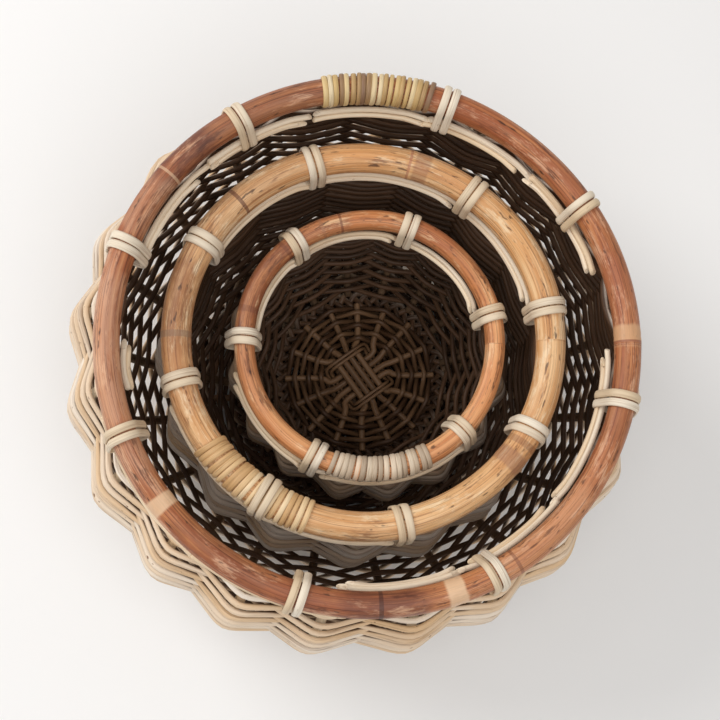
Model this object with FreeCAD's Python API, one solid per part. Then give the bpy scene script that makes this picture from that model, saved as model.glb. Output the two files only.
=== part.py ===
import FreeCAD, Part

import math
import os
from dataclasses import dataclass

from FreeCAD import Vector

# A nest of three round rattan baskets. Every length is in millimetres and every angle in degrees.
# The origin is the centre of the large basket's foot, on the surface that it stands on, with +Z up.

# Clearances
FIT_GAP = 0.3            # between pieces that are woven or laid against each other
NEST_GAP = 0.3           # between one basket's floor and the foot of the basket inside it

# Strips of cane core that tie and whip the rims
STRIP_WIDTH = 6.2
STRIP_THICKNESS = 2.2
STRIP_SPACING = 7.0      # between the two strips of a tie
WHIPPING_THICKNESS = 1.5
WHIPPING_GAP = 0.25      # between turns
STRIP_CLEARANCE = 0.25   # between the hoop and a strip round it

# Rim stack
WALE_DROP = 1.0          # from the border's middle level down to the top of the wale rods
HOOP_STAND_OFF = 6.0     # from the border's middle level up to the underside of the hoop
BORDER_STEP_OUT = 1.3    # border rods lie this much further from the stakes than the wale rods
BORDER_STEP_UP = 1.1     # free height between a wale rod and the border rod above it
TIE_SLACK = 0.4          # room between a tie and the rods inside it

# Base, in each basket's own frame
BASE_MIDDLE = 10.0       # height of the spread sticks' centre line
BASE_STICK_RADIUS = 2.75
BASE_STICK_PITCH = 6.4
BASE_ROW_RADIUS = 2.3
BASE_ROW_PITCH = 7.4
BASE_FIRST_ROW = 33.0
SLATH_HALF = 24.0        # half the length over which the crossed sticks run straight
SLATH_SPREAD = 31.0      # radius at which the sticks have reached the base's middle level
LAYER_CLEARANCE = 0.1    # between the two layers of crossed sticks
BINDING_RADIUS = 1.5
BINDING_INSET = 6.1      # from the end of the straight run to the first binding row
BINDING_OVERHANG = 1.0   # how far a binding row runs past the outermost stick before it turns
BINDING_SPACING = 3.4

# Foot border
FOOT_WIDTH = 17.0
FOOT_HEIGHT = 10.0
FOOT_ROUND = 4.0

# Walls
POINTS_PER_STAKE = 4     # points on a woven row's curve, for each stake that it passes
SECTIONS_PER_BAND = 4    # curves that each woven band is lofted through
BAND_GAP = 0.4


@dataclass
class Basket:
    name: str
    height: float
    rim_diameter: float      # outside of the hoop
    hoop_thickness: float
    wall_inset: float        # from the hoop's centre line in to the line of the stakes, at the rim
    belly_radius: float      # to the centre line of the stakes
    belly_height: float
    foot_radius: float       # to the stakes' centre line, where the wall meets the foot border
    stakes: int
    stake_radius: float
    rod_radius: float
    first_stake: float       # angle of one stake
    wave: float              # how far a woven row swings either side of the stakes' centre line
    bands: int
    sticks: int              # base sticks in each of the two crossed layers
    cross_angle: float       # direction of the lower layer of base sticks
    ties: tuple              # angle of the middle of each tie
    whipping: tuple          # angles where the whipping over the hoop's scarf starts and ends
    whipping_turns: int
    rods_inside: tuple       # angles where each border rod inside the rim starts and ends
    rods_outside: tuple
    place: Vector            # of the basket's own origin, in the nest

    @property
    def hoop_radius(self):
        return (self.rim_diameter - self.hoop_thickness) / 2

    @property
    def hoop_height(self):
        return self.height - self.hoop_thickness / 2

    @property
    def rim_wall_radius(self):
        return self.hoop_radius - self.wall_inset

    @property
    def border_level(self):
        return self.height - self.hoop_thickness - HOOP_STAND_OFF

    @property
    def rod_offset(self):
        """From a stake's centre line to the centre line of a rod that passes it."""
        return self.stake_radius + FIT_GAP + self.rod_radius

    @property
    def wale_level(self):
        return self.border_level - self.rod_radius - WALE_DROP

    @property
    def border_offset(self):
        return self.rod_offset + BORDER_STEP_OUT

    @property
    def border_rod_level(self):
        return self.wale_level + 2 * self.rod_radius + BORDER_STEP_UP

    @property
    def stake_bottom(self):
        return FOOT_HEIGHT + FIT_GAP

    @property
    def weave_bottom(self):
        """The woven bands start above the floor, since the wall leans in over it."""
        return base_top() + FIT_GAP


def base_top():
    """Height of the upper side of a basket's floor above its own foot."""
    return BASE_MIDDLE + BASE_STICK_RADIUS + 2 * BASE_ROW_RADIUS + FIT_GAP


NEST_STEP = base_top() + NEST_GAP

LARGE = Basket(
    name="large", height=264.0, rim_diameter=400.0, hoop_thickness=19.5, wall_inset=2.5,
    belly_radius=214.0, belly_height=150.0, foot_radius=125.0,
    stakes=20, stake_radius=4.0, rod_radius=2.4, first_stake=10.0, wave=8.8, bands=6,
    sticks=5, cross_angle=20.0,
    ties=(33.0, 72.0, 121.0, 159.5, 202.0, 254.2, 297.8, 347.0),
    whipping=(76.0, 101.0), whipping_turns=20,
    rods_inside=((20, 46), (48, 74), (76, 102), (105, 130), (133, 158),
                 (182, 191), (265, 290), (292, 318), (320, 357)),
    rods_outside=((195, 228), (230, 262)),
    place=Vector(0, 0, 0),
)

MEDIUM = Basket(
    name="medium", height=216.0, rim_diameter=303.0, hoop_thickness=22.5, wall_inset=0.0,
    belly_radius=148.6, belly_height=104.0, foot_radius=90.0,
    stakes=16, stake_radius=3.8, rod_radius=2.3, first_stake=21.5, wave=8.2, bands=4,
    sticks=4, cross_angle=28.0,
    ties=(10.2, 54.0, 106.5, 149.9, 194.0, 238.1, 281.4, 331.2),
    whipping=(215.0, 253.0), whipping_turns=20,
    rods_inside=((15, 52), (56, 104), (109, 147)),
    rods_outside=((197, 235), (240, 279)),
    place=Vector(-1, 7, NEST_STEP),
)

SMALL = Basket(
    name="small", height=172.0, rim_diameter=208.0, hoop_thickness=15.5, wall_inset=0.0,
    belly_radius=105.3, belly_height=90.0, foot_radius=68.5,
    stakes=16, stake_radius=3.3, rod_radius=2.1, first_stake=9.0, wave=7.5, bands=4,
    sticks=4, cross_angle=36.0,
    ties=(14.0, 71.6, 126.9, 178.6, 244.2, 316.0),
    whipping=(251.7, 297.2), whipping_turns=17,
    rods_inside=((20, 68), (76, 123), (131, 175)),
    rods_outside=((195, 240), (248, 312)),
    place=Vector(5, 8, 2 * NEST_STEP),
)


def arc_radius(drop, rise):
    """Radius of an arc that starts upright and moves in by drop over a height of rise."""
    return (rise ** 2 + drop ** 2) / (2 * drop)


def wall_arc(basket, z):
    """Radius of the arc that the wall follows at a height. Two arcs meet upright at the belly."""
    if z > basket.belly_height:
        drop = basket.belly_radius - basket.rim_wall_radius
        return arc_radius(drop, basket.border_level - basket.belly_height)
    return arc_radius(basket.belly_radius - basket.foot_radius, basket.belly_height - FOOT_HEIGHT)


def wall_radius(basket, z):
    """Radius of the stakes' centre line."""
    arc = wall_arc(basket, z)
    return basket.belly_radius - arc + math.sqrt(arc ** 2 - (z - basket.belly_height) ** 2)


def wall_slope(basket, z):
    """Angle between the wall and upright, in radians."""
    return math.asin(abs(z - basket.belly_height) / wall_arc(basket, z))


def wale_radius(basket, side):
    """Radius of the wale rod inside (-1) or outside (1) the stakes."""
    level = basket.wale_level
    return wall_radius(basket, level) + side * basket.rod_offset / math.cos(wall_slope(basket, level))


def border_rod_radius(basket, side):
    return basket.rim_wall_radius + side * basket.border_offset


def bundle(basket, side):
    """The circle (distance from the axis, height, radius) in which a tie holds the wale and border rods
    on one side of the stakes."""
    low = wale_radius(basket, side)
    high = border_rod_radius(basket, side)
    reach = math.hypot(high - low, basket.border_rod_level - basket.wale_level) / 2
    level = (basket.wale_level + basket.border_rod_level) / 2
    return (low + high) / 2, level, reach + basket.rod_radius + TIE_SLACK


def weave_top(basket):
    """Height up to which the wall is woven, just under the ties."""
    lowest = min(level - radius for _, level, radius in (bundle(basket, -1), bundle(basket, 1)))
    return lowest - STRIP_THICKNESS - FIT_GAP


def turn(shape, angle):
    """A copy of shape, turned about the basket's axis."""
    copy = shape.copy()
    copy.rotate(Vector(0, 0, 0), Vector(0, 0, 1), angle)
    return copy


def polar(radius, angle, z):
    return Vector(radius * math.cos(math.radians(angle)), radius * math.sin(math.radians(angle)), z)


def ring(radius, z, thickness):
    """A closed round rod."""
    return Part.makeTorus(radius, thickness, Vector(0, 0, z))


def rod_arc(radius, z, thickness, start, end):
    """A round rod that follows part of a circle."""
    arc = Part.makeTorus(radius, thickness, Vector(0, 0, z), Vector(0, 0, 1), 0, 360, end - start)
    return turn(arc, start)


def rod_through(points, radius, closed=False):
    """A round rod bent at each of its points."""
    stops = points + points[:1] if closed else points
    pieces = [Part.makeSphere(radius, point) for point in points]
    for start, end in zip(stops, stops[1:]):
        run = end - start
        pieces.append(Part.makeCylinder(radius, run.Length, start, run))
    return pieces[0].multiFuse(pieces[1:])


def circle_hull(circles):
    """The closed outline, in the XZ plane, of a band pulled tight round circles.
    Each circle is (x, z, radius), and they are listed anticlockwise."""
    normals = []
    for (ax, az, ar), (bx, bz, br) in zip(circles, circles[1:] + circles[:1]):
        length = math.hypot(bx - ax, bz - az)
        ux = (bx - ax) / length
        uz = (bz - az) / length
        along = (ar - br) / length
        across = math.sqrt(1 - along ** 2)
        normals.append(math.atan2(uz * along - ux * across, ux * along + uz * across))
    edges = []
    for index, (x, z, radius) in enumerate(circles):
        start = normals[index - 1]
        end = normals[index]
        if end < start:
            end += 2 * math.pi
        points = [
            Vector(x + radius * math.cos(a), 0, z + radius * math.sin(a))
            for a in (start, (start + end) / 2, end)
        ]
        if edges:
            edges.append(Part.LineSegment(edges[-1].lastVertex().Point, points[0]).toShape())
        edges.append(Part.Arc(*points).toShape())
    edges.append(Part.LineSegment(edges[-1].lastVertex().Point, edges[0].firstVertex().Point).toShape())
    return Part.Wire(edges)


def rim_hoop(basket):
    return [ring(basket.hoop_radius, basket.hoop_height, basket.hoop_thickness / 2)]


def rim_whipping(basket):
    """Turns of flat strip round the hoop, over the scarf where its two ends lap."""
    start, end = basket.whipping
    pitch = (end - start) / basket.whipping_turns
    width = math.radians(pitch) * basket.hoop_radius - WHIPPING_GAP
    inner = basket.hoop_thickness / 2 + STRIP_CLEARANCE
    centre = Vector(basket.hoop_radius, -width / 2, basket.hoop_height)
    outer_tube = Part.makeCylinder(inner + WHIPPING_THICKNESS, width, centre, Vector(0, 1, 0))
    inner_tube = Part.makeCylinder(inner, width, centre, Vector(0, 1, 0))
    strip = outer_tube.cut(inner_tube)
    return [turn(strip, start + pitch * (i + 0.5)) for i in range(basket.whipping_turns)]


def tie_loop(basket, lift):
    """One strip, pulled tight round the hoop and the bundle of rods below it."""
    hoop = (basket.hoop_radius, basket.hoop_height, basket.hoop_thickness / 2 + lift)

    def outline(grow):
        circles = (bundle(basket, 1), hoop, bundle(basket, -1))
        return circle_hull([(x, z, radius + grow) for x, z, radius in circles])
    face = Part.Face([outline(STRIP_THICKNESS), outline(0)])
    loop = face.extrude(Vector(0, STRIP_WIDTH, 0))
    loop.translate(Vector(0, -STRIP_WIDTH / 2, 0))
    return loop


def rim_ties(basket):
    """Pairs of strips. A tie that crosses the whipping is lifted over it."""
    strips = []
    for angle in basket.ties:
        whipped = basket.whipping[0] < angle < basket.whipping[1]
        lift = STRIP_CLEARANCE + (WHIPPING_THICKNESS + FIT_GAP if whipped else 0)
        for side in (-1, 1):
            strip = tie_loop(basket, lift)
            strip.translate(Vector(0, side * STRIP_SPACING / 2, 0))
            strips.append(turn(strip, angle))
    return strips


def border_rods(basket, spans, side):
    radius = border_rod_radius(basket, side)
    return [rod_arc(radius, basket.border_rod_level, basket.rod_radius, *span) for span in spans]


def top_wale(basket):
    """The rods that run inside and outside the stakes, under the border."""
    return [ring(wale_radius(basket, side), basket.wale_level, basket.rod_radius) for side in (-1, 1)]


def near_tie(basket, angle):
    """True where a stake would run into the strips of a tie."""
    reach = (STRIP_SPACING + STRIP_WIDTH) / 2 + basket.stake_radius + FIT_GAP
    limit = math.degrees(reach / basket.rim_wall_radius)
    return any(abs((angle - tie + 180) % 360 - 180) < limit for tie in basket.ties)


def stake_dip(basket, z):
    """How far the edge of a stake's end is below or above its centre, where the wall slopes."""
    return basket.stake_radius * math.sin(wall_slope(basket, z))


def stake(basket, top):
    """One stake: a round rod that follows the wall from just above the foot border."""
    bottom = basket.stake_bottom + stake_dip(basket, basket.stake_bottom)
    belly = basket.belly_height
    levels = (bottom, (bottom + belly) / 2, belly, (belly + top) / 2, top)
    points = [Vector(wall_radius(basket, z), 0, z) for z in levels]
    path = Part.Wire([Part.Arc(*points[:3]).toShape(), Part.Arc(*points[2:]).toShape()])
    direction = path.Edges[0].tangentAt(path.Edges[0].FirstParameter)
    section = Part.Wire(Part.makeCircle(basket.stake_radius, points[0], direction))
    return path.makePipeShell([section], True, False)


def stakes(basket):
    tall = stake(basket, basket.border_level)
    limit = weave_top(basket)
    short = stake(basket, limit - stake_dip(basket, limit))
    pitch = 360 / basket.stakes
    angles = [basket.first_stake + pitch * i for i in range(basket.stakes)]
    return [turn(short if near_tie(basket, angle) else tall, angle) for angle in angles]


def woven_curve(basket, z, shift, sign):
    """The line of a row that passes outside one stake and inside the next. Where the wall slopes, level
    distances grow so that the row keeps its distance from the stakes."""
    count = POINTS_PER_STAKE * basket.stakes
    stretch = 1 / math.cos(wall_slope(basket, z))
    points = []
    for i in range(count):
        angle = 360 * i / count
        swing = math.cos(math.radians(basket.stakes / 2 * (angle - basket.first_stake)))
        radius = wall_radius(basket, z) + stretch * (sign * basket.wave * swing + shift)
        points.append(polar(radius, angle, z))
    curve = Part.BSplineCurve()
    curve.interpolate(Points=points, PeriodicFlag=True)
    return Part.Wire(curve.toShape())


def woven_band(basket, low, high, sign):
    """A group of rows that all pass the stakes on the same sides, as one band."""
    def block(shift, spare):
        bottom = low - spare
        step = (high - low + 2 * spare) / (SECTIONS_PER_BAND - 1)
        levels = [bottom + step * i for i in range(SECTIONS_PER_BAND)]
        return Part.makeLoft([woven_curve(basket, z, shift, sign) for z in levels], True)
    return block(basket.rod_radius, 0).cut(block(-basket.rod_radius, BAND_GAP))


def weave(basket, parity):
    """Every second band of the wall. The bands between them pass the stakes the other way."""
    step = (weave_top(basket) - basket.weave_bottom) / basket.bands
    sign = 1 if parity == 0 else -1
    bands = []
    for i in range(parity, basket.bands, 2):
        low = basket.weave_bottom + step * i
        bands.append(woven_band(basket, low, low + step - BAND_GAP, sign))
    return bands


def foot_border(basket):
    """The border under the wall, flat where it stands."""
    inner = basket.foot_radius - FOOT_WIDTH / 2
    outer = inner + FOOT_WIDTH
    shoulder = FOOT_HEIGHT - FOOT_ROUND
    bulge = FOOT_ROUND * (1 - math.sqrt(0.5))
    points = [Vector(inner, 0, shoulder), Vector(inner, 0, 0), Vector(outer, 0, 0), Vector(outer, 0, shoulder)]
    sides = [Part.LineSegment(a, b).toShape() for a, b in zip(points, points[1:])]
    outer_top = Vector(outer - FOOT_ROUND, 0, FOOT_HEIGHT)
    inner_top = Vector(inner + FOOT_ROUND, 0, FOOT_HEIGHT)
    outer_arc = Part.Arc(points[-1], Vector(outer - bulge, 0, FOOT_HEIGHT - bulge), outer_top)
    inner_arc = Part.Arc(inner_top, Vector(inner + bulge, 0, FOOT_HEIGHT - bulge), points[0])
    top = Part.LineSegment(outer_top, inner_top)
    profile = Part.Wire(sides + [outer_arc.toShape(), top.toShape(), inner_arc.toShape()])
    return [Part.Face(profile).revolve(Vector(0, 0, 0), Vector(0, 0, 1), 360)]


def floor_edge(basket):
    """Radius of the floor, inside the foot border."""
    return basket.foot_radius - FOOT_WIDTH / 2 - FIT_GAP


def layer_level(layer):
    """Height of the crossed sticks' centre line: layer is -1 below and +1 above."""
    return BASE_MIDDLE + layer * (BASE_STICK_RADIUS + LAYER_CLEARANCE / 2)


def base_sticks(basket, layer):
    """Sticks that lie side by side at the centre and spread out to the floor's edge."""
    sticks = []
    edge = floor_edge(basket) - BASE_STICK_RADIUS
    for i in range(basket.sticks):
        place = i - (basket.sticks - 1) / 2
        spread = 90 / basket.sticks * place
        half = [
            Vector(SLATH_HALF, place * BASE_STICK_PITCH, layer_level(layer)),
            polar(SLATH_SPREAD, spread, BASE_MIDDLE),
            polar(edge, spread, BASE_MIDDLE),
        ]
        mirrored = [Vector(-p.x, p.y, p.z) for p in reversed(half)]
        stick = rod_through(mirrored + half, BASE_STICK_RADIUS)
        quarter = 0 if layer < 0 else 90
        sticks.append(turn(stick, basket.cross_angle + quarter))
    return sticks


def slath_binding(basket):
    """Square rounds that pass over one layer of crossed sticks and under the other."""
    rounds = []
    reach = BASE_STICK_PITCH * (basket.sticks - 1) / 2 + BASE_STICK_RADIUS + BINDING_OVERHANG
    above = layer_level(1) + BASE_STICK_RADIUS + BINDING_RADIUS + FIT_GAP / 2
    below = layer_level(-1) - BASE_STICK_RADIUS - BINDING_RADIUS - FIT_GAP / 2
    for i in range(2):
        side = SLATH_HALF - BINDING_INSET + BINDING_SPACING * i
        points = []
        for quarter in range(4):
            level = below if quarter % 2 == 0 else above
            corner = [Vector(side, -side, BASE_MIDDLE), Vector(side, -reach, level), Vector(side, reach, level)]
            for point in corner:
                points.append(FreeCAD.Rotation(Vector(0, 0, 1), 90 * quarter).multVec(point))
        rounds.append(turn(rod_through(points, BINDING_RADIUS, closed=True), basket.cross_angle))
    return rounds


def base_weave(basket):
    """Round rows of the floor, laid above and below the sticks in turn."""
    rows = []
    lift = BASE_STICK_RADIUS + BASE_ROW_RADIUS + FIT_GAP
    radius = BASE_FIRST_ROW
    side = 1
    while radius + BASE_ROW_RADIUS < floor_edge(basket):
        rows.append(ring(radius, BASE_MIDDLE + side * lift, BASE_ROW_RADIUS))
        radius += BASE_ROW_PITCH
        side = -side
    return rows


def pieces(basket):
    """Every node of one basket, by name."""
    return {
        "rim_hoop": rim_hoop(basket),
        "rim_whipping": rim_whipping(basket),
        "rim_ties": rim_ties(basket),
        "border_rods_inside": border_rods(basket, basket.rods_inside, -1),
        "border_rods_outside": border_rods(basket, basket.rods_outside, 1),
        "top_wale": top_wale(basket),
        "stakes": stakes(basket),
        "odd_weave_rows": weave(basket, 0),
        "even_weave_rows": weave(basket, 1),
        "foot_border": foot_border(basket),
        "base_sticks_under": base_sticks(basket, -1),
        "base_sticks_over": base_sticks(basket, 1),
        "slath_binding": slath_binding(basket),
        "base_weave": base_weave(basket),
    }


def export(basket):
    for name, solids in pieces(basket).items():
        shape = Part.makeCompound(solids) if len(solids) > 1 else solids[0]
        shape.translate(basket.place)
        shape.exportStep(f"parts/{basket.name}_{name}.step")


os.makedirs("parts", exist_ok=True)
for nested in (LARGE, MEDIUM, SMALL):
    export(nested)
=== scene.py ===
import math
from dataclasses import dataclass
from functools import partial

import bpy
import numpy as np
from mathutils import Matrix, Vector


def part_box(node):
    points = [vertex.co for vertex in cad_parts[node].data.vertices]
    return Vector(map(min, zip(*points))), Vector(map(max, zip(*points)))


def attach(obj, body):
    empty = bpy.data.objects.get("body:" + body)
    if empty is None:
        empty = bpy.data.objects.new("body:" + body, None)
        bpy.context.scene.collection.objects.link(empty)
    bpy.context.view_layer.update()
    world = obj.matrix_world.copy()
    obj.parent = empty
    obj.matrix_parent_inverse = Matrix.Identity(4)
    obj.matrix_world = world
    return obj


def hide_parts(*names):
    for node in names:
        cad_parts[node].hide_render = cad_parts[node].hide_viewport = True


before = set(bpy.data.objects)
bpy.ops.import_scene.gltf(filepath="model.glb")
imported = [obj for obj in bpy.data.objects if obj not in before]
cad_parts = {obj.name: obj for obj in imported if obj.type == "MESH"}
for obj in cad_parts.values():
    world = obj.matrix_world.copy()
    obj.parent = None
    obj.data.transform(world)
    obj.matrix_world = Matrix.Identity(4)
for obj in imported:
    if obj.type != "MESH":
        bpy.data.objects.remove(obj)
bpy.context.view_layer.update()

# A nest of three round rattan baskets. Lengths are in millimetres until a mesh is built; angles are in degrees.
# u counts stakes round a wall, or sticks round a floor.

MM = 0.001
FIT_GAP = 0.3

# Wall
ROW_PITCH = 6.2
UPPER_ROW_PITCH = 5.8
PITCH_CHANGE = (10.0, 25.0)  # where the pitch starts to change above the belly, and over what height
FIRST_ROW_RISE = 6.0
LAST_ROW_DROP = 0.8
SWING_GROWTH = 22.0  # height over which a woven rod's swing grows from the foot up
SWING_FADE = 26.0  # and over which it shrinks again under the border
WAVE_GAIN = 1.2  # makes up for what SOFTEN takes off a woven rod's corners
STEPS_PER_STAKE = 12
SOFTEN = (1, 2, 3, 2, 1)
STAKE_SHIFT = 1.2
STAKE_TILT = 1.6
STAKE_STEPS = 48

# Rim
HOOP_STEP = 0.75
NODE_SWELL = 0.035
NODE_GROOVE = 0.030
BORDER_OUT = 1.3  # how much further out than the woven rods the border rods lie
BORDER_RISE = 1.0
PAIR_OUT = 1.17  # how far the second border rod of a pair lies beyond the first, in rod radii
PAIR_DROP = 1.45  # and how far below its line
BUNDLE_SLACK = 0.4
TIE_ROOM = 2.2
TIE_HALF_WIDTH = 6.8
TIE_LEAN = 3.5
STRIP_HALF_WIDTH = 3.1
STRIP_HALF_THICKNESS = 1.4
STRIP_SPACING = 6.9
STRIP_STEPS = 48
LIFT_OVER_WHIPPING = 2.1
LIFT_OVER_HOOP = 0.15
WHIPPING_HALF_THICKNESS = 1.1
WHIPPING_STEPS = 26
WHIPPING_CROSSOVER = 0.2  # share of a turn over which the strip moves on to the next one

# Foot and floor
FOOT_INSET = 8.5  # from the foot's outside to the middle of its plait
FLOOR_INSET = 8.8  # from there to the floor's edge
FLOOR_OVERLAP = 4.0  # how far the sticks and the last row run past that edge
PLAIT_SWING = 6.0
PLAIT_LEVEL = 3.7
PLAIT_RISE = 1.3
PLAIT_ROD_RADIUS = 2.4
PLAIT_STEPS = 16
BASE_MIDDLE = 10.0
STICK_RADIUS = 2.75
STICK_PITCH = 6.4
SLATH_HALF = 24.0
SLATH_SPREAD = 31.0
BINDING_RADIUS = 1.5
BINDING_INSET = 6.1
BINDING_PITCH = 3.4
BASE_ROW_PITCH = 5.6
BASE_ROD_RADIUS = 2.15
BASE_STEPS = 10

# Rod ends, as shares of the rod's half width, and the angle over which an edge is drawn sharp
END_LENGTH = 0.22
END_SIZE = 0.8
SHARP_ANGLE = 58.0


def smooth(x):
    x = np.clip(x, 0, 1)
    return x * x * (3 - 2 * x)


def bump(angle, centre, half_width):
    """1 at the centre angle, falling to 0 outside half_width."""
    away = np.abs((angle - centre + 180) % 360 - 180) / half_width
    return smooth(1 - away)


def wobble(rng, angle, amount, first=2, last=7):
    """A slow random wave round a circle, no larger than about amount."""
    waves = np.arange(first, last + 1)
    phases = rng.uniform(0, 360, len(waves))
    sizes = rng.uniform(0.4, 1, len(waves)) / waves
    sizes *= amount / sizes.sum()
    return (sizes[:, None] * np.cos(np.radians(np.outer(waves, angle) + phases[:, None]))).sum(0)


def around(radius, angle, z):
    """Points at an angle round a basket's axis."""
    a = np.radians(angle)
    radius, a, z = np.broadcast_arrays(radius, a, z)
    return np.stack([radius * np.cos(a), radius * np.sin(a), z], -1).astype(float)


def rounded(points, rounds=3):
    """An open line with its corners cut, more finely each time."""
    for _ in range(rounds):
        a, b = points[:-1], points[1:]
        cut = np.stack([a * 0.75 + b * 0.25, a * 0.25 + b * 0.75], 1).reshape(-1, 3)
        points = np.vstack([points[:1], cut, points[-1:]])
    return points


def rounded_loop(points, rounds=3):
    """The same for a closed line."""
    for _ in range(rounds):
        after = np.roll(points, -1, 0)
        points = np.stack([points * 0.75 + after * 0.25, points * 0.25 + after * 0.75], 1).reshape(-1, 3)
    return points


def turned(points, degrees):
    """Points turned about a basket's axis."""
    turn = math.radians(degrees)
    c, s = math.cos(turn), math.sin(turn)
    return points @ np.array([[c, -s, 0], [s, c, 0], [0, 0, 1]]).T


def hull(circles, count):
    """Evenly spaced points (x, z) round a band pulled tight over circles (x, z, radius)."""
    circles = np.array(circles, float)
    turn = np.linspace(0, 2 * np.pi, 721)
    normal = np.stack([np.cos(turn), np.sin(turn)])
    best = (circles[:, :2] @ normal + circles[:, 2:]).argmax(0)
    outline = circles[best, :2] + circles[best, 2:] * normal.T
    length = np.r_[0, np.cumsum(np.linalg.norm(np.diff(outline, axis=0), axis=1))]
    even = np.linspace(0, length[-1], count, endpoint=False)
    return np.stack([np.interp(even, length, outline[:, i]) for i in range(2)], -1)


@dataclass
class Basket:
    """One basket's own numbers, and the sizes that follow from its CAD boxes."""
    name: str
    seed: int
    stakes: int
    wall_inset: float     # from the hoop's centre line in to the top of the stakes
    belly: tuple          # radius and height of the wall's widest place
    foot_radius: float
    stake_radius: float
    rod_radius: float
    first_stake: float
    wave: float           # how far a woven rod swings in and out from the stakes' centre line
    stain_and_shade: float          # how much browner the woven rods are, 0 to 1, partly painted shade of a nested basket
    sticks: int
    cross_angle: float
    lean: tuple           # how far the wall is shifted along X and Y below the rim
    ties: tuple
    whipping: tuple       # where it starts and ends
    turns: int
    rods_inside: tuple    # where each pair of border rods starts and ends
    rods_outside: tuple
    nodes: tuple

    def __post_init__(self):
        self.belly_radius, self.belly_height = self.belly
        low, high = self.box("foot_border")
        self.place = np.array([(low[0] + high[0]) / 2, (low[1] + high[1]) / 2, low[2]])
        self.foot_height = high[2] - low[2]
        self.plait_radius = (high[0] - low[0]) / 2 - FOOT_INSET
        self.floor_edge = self.plait_radius - FLOOR_INSET
        low, high = self.box("rim_hoop")
        self.hoop_half = (high[2] - low[2]) / 2
        self.hoop_radius = (high[0] - low[0]) / 2 - self.hoop_half
        self.hoop_height = (low[2] + high[2]) / 2 - self.place[2]
        self.rim_wall_radius = self.hoop_radius - self.wall_inset
        self.wale_level = self.middle_level("top_wale")
        self.border_rod_level = self.middle_level("border_rods_inside")
        self.rod_offset = self.stake_radius + FIT_GAP + self.rod_radius
        self.border_offset = self.rod_offset + BORDER_OUT
        self.border_level = self.wale_level + self.rod_radius + BORDER_RISE
        under_bundles = min(level - radius for _, level, radius in map(self.bundle, (-1, 1)))
        self.weave_top = under_bundles - TIE_ROOM - FIT_GAP
        rng = np.random.default_rng(self.seed)
        self.stake_shift = rng.uniform(-STAKE_SHIFT, STAKE_SHIFT, self.stakes)
        self.stake_tilt = rng.uniform(-STAKE_TILT, STAKE_TILT, self.stakes)
        self.hoop_waves = rng.integers(0, 10000, 3)

    def box(self, node):
        low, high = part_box(f"{self.name}_{node}")
        return np.array(low) / MM, np.array(high) / MM

    def middle_level(self, node):
        low, high = self.box(node)
        return (low[2] + high[2]) / 2 - self.place[2]

    def arc(self, z):
        """Radius of the arc that the wall follows: two arcs meet upright at the belly."""
        over = self.belly_radius - self.rim_wall_radius
        under = self.belly_radius - self.foot_radius
        up, down = self.border_level - self.belly_height, self.belly_height - self.foot_height
        upper, lower = (up ** 2 + over ** 2) / (2 * over), (down ** 2 + under ** 2) / (2 * under)
        return np.where(z > self.belly_height, upper, lower)

    def slope(self, z):
        """The wall's angle from upright: above 0 where its inside faces up."""
        return np.arcsin(np.clip((self.belly_height - z) / self.arc(z), -1, 1))

    def wall(self, z):
        """Radius of the stakes' centre line."""
        return self.belly_radius - self.arc(z) * (1 - np.cos(self.slope(z)))

    def beside_wall(self, z, out):
        """Radius and height of a point that lies out from the stakes' centre line, square to it."""
        return self.wall(z) + out * np.cos(self.slope(z)), z - out * np.sin(self.slope(z))

    def row_levels(self):
        """Heights of the woven rows, closer together above the belly."""
        start, height = PITCH_CHANGE
        first, last = self.foot_height + FIRST_ROW_RISE, self.weave_top - self.rod_radius - LAST_ROW_DROP
        z = np.linspace(first, last, 400)
        above = smooth((z[1:] - self.belly_height - start) / height)
        pitch = ROW_PITCH + (UPPER_ROW_PITCH - ROW_PITCH) * above
        row = np.r_[0, np.cumsum(np.diff(z) / np.cos(self.slope(z[1:])) / pitch)]
        return np.interp(np.linspace(0, row[-1], round(row[-1]) + 1), row, z)

    def wale_radius(self, side):
        return float(self.wall(self.wale_level) + side * self.rod_offset / np.cos(self.slope(self.wale_level)))

    def bundle(self, side):
        """The circle (distance from the axis, height, radius) that holds the wale and border rods on one side."""
        low, high = self.wale_radius(side), self.rim_wall_radius + side * self.border_offset
        reach = math.hypot(high - low, self.border_rod_level - self.wale_level) / 2
        level = (self.wale_level + self.border_rod_level) / 2
        return (low + high) / 2, level, reach + self.rod_radius + BUNDLE_SLACK

    def stake_angle(self, u, z):
        shift = self.stake_shift + self.stake_tilt * (np.mean(z) / self.border_level - 0.5)
        return self.first_stake + 360 / self.stakes * u + eased(shift, u)

    def hoop_line(self, angle):
        """Radius and height of the hoop's centre line, and half its thickness, which grows at each cane node."""
        a, b, c = (np.random.default_rng(int(s)) for s in self.hoop_waves)
        angle = np.atleast_1d(np.asarray(angle, float))
        radius = self.hoop_radius + wobble(a, angle, 0.9)
        height = self.hoop_height + wobble(b, angle, 0.8)
        half = self.hoop_half * (1 + wobble(c, angle, 0.035, 2, 9))
        for node_angle in self.nodes:
            half = half + self.hoop_half * NODE_SWELL * bump(angle, node_angle, 3.0)
            half = half - self.hoop_half * NODE_GROOVE * bump(angle, node_angle + 0.5, 0.7)
        return radius, height, half

    def settle(self, points):
        """From the basket's own frame to the nest's, with the lean that a hand-made basket has below its rim."""
        drop = smooth((self.border_level - points[..., 2]) / (self.border_level - self.belly_height))
        return points + drop[..., None] * [*self.lean, 0.0] + self.place

    def near_tie(self, angle):
        limit = math.degrees((TIE_HALF_WIDTH + self.stake_radius) / self.rim_wall_radius)
        return any(abs((angle - tie + 180) % 360 - 180) < limit for tie in self.ties)


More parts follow.
